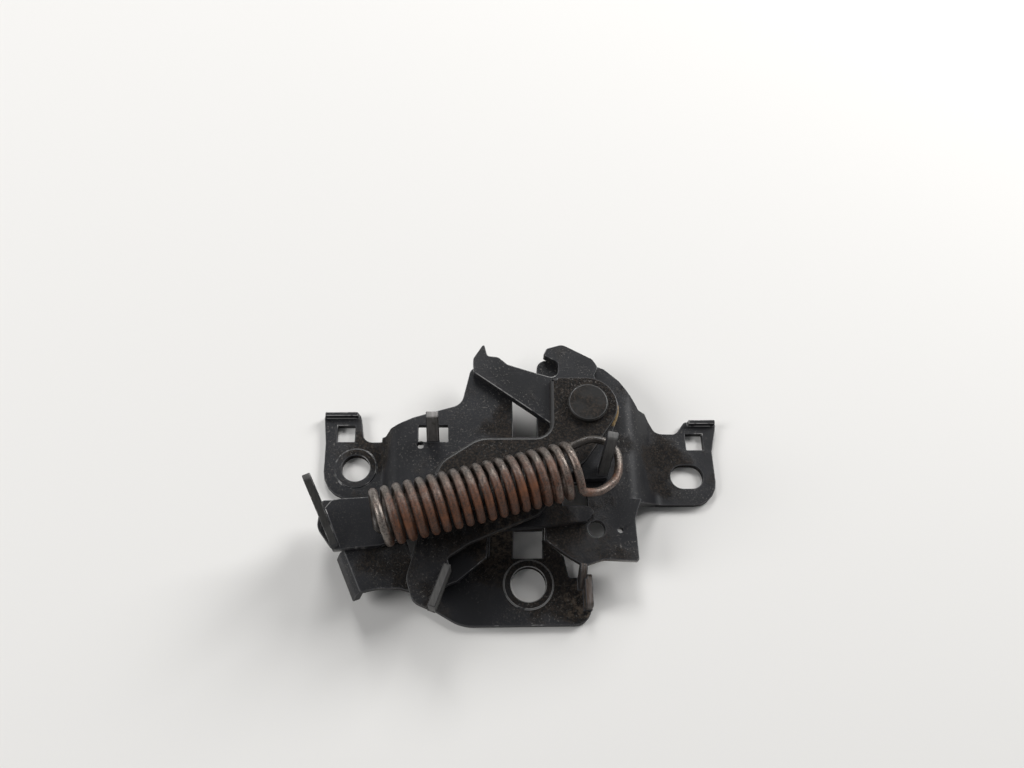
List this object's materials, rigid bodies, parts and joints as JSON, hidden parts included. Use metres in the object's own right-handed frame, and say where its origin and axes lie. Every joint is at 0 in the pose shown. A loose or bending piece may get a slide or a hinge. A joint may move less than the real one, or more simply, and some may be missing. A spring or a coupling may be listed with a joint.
{
  "type": "bonnet latch",
  "caption": "Bonnet latch: folded base plate and front plate holding a striker hook and a release pawl on rivets, pulled by one exposed tension spring.",
  "frame": {"origin": "on the axis of the lower bolt hole, in the plane of the backs of the two ears and of the lower boss", "axes": "+X to the right as seen from the front, +Y up to the striker's entry, +Z out of the front, along the bolts"},
  "size_m": [0.1454, 0.0995, 0.0435],
  "materials": {
    "base_paint": "satin black coating, dirty and chipped at the edges",
    "front_paint": "satin black coating under brown greasy dirt",
    "hook_paint": "satin black coating, rubbed grey at the jaw",
    "pawl_paint": "satin black coating, bare grey on the sheared edges",
    "rivet_steel": "dark greasy steel with a bright rim",
    "spring_steel": "grey wire with orange-brown rust on its lower sides"
  },
  "bodies": {
    "frame": {"base_plate": "base_paint", "front_plate": "front_paint", "hook_rivet": "rivet_steel", "pawl_rivet": "rivet_steel", "main_spring": "spring_steel"},
    "hook": {"hook": "hook_paint"},
    "pawl": {"release_pawl": "pawl_paint"}
  },
  "joints": [
    {"name": "hook_swing", "type": "hinge", "parent": "frame", "child": "hook", "pos_m": [0.0218, 0.0599, 0.0151], "axis": [0, 0, 1], "range_deg": [0, 36], "stiffness_Nm_per_rad": 3.4, "springref_deg": -5.73, "deforming": ["main_spring"]},
    {"name": "pawl_release", "type": "hinge", "parent": "frame", "child": "pawl", "pos_m": [-0.02, 0.026, 0.0148], "axis": [0, 0, 1], "range_deg": [-8, 0], "stiffness_Nm_per_rad": 0.07, "springref_deg": 28.65, "deforming": ["main_spring"]}
  ]
}
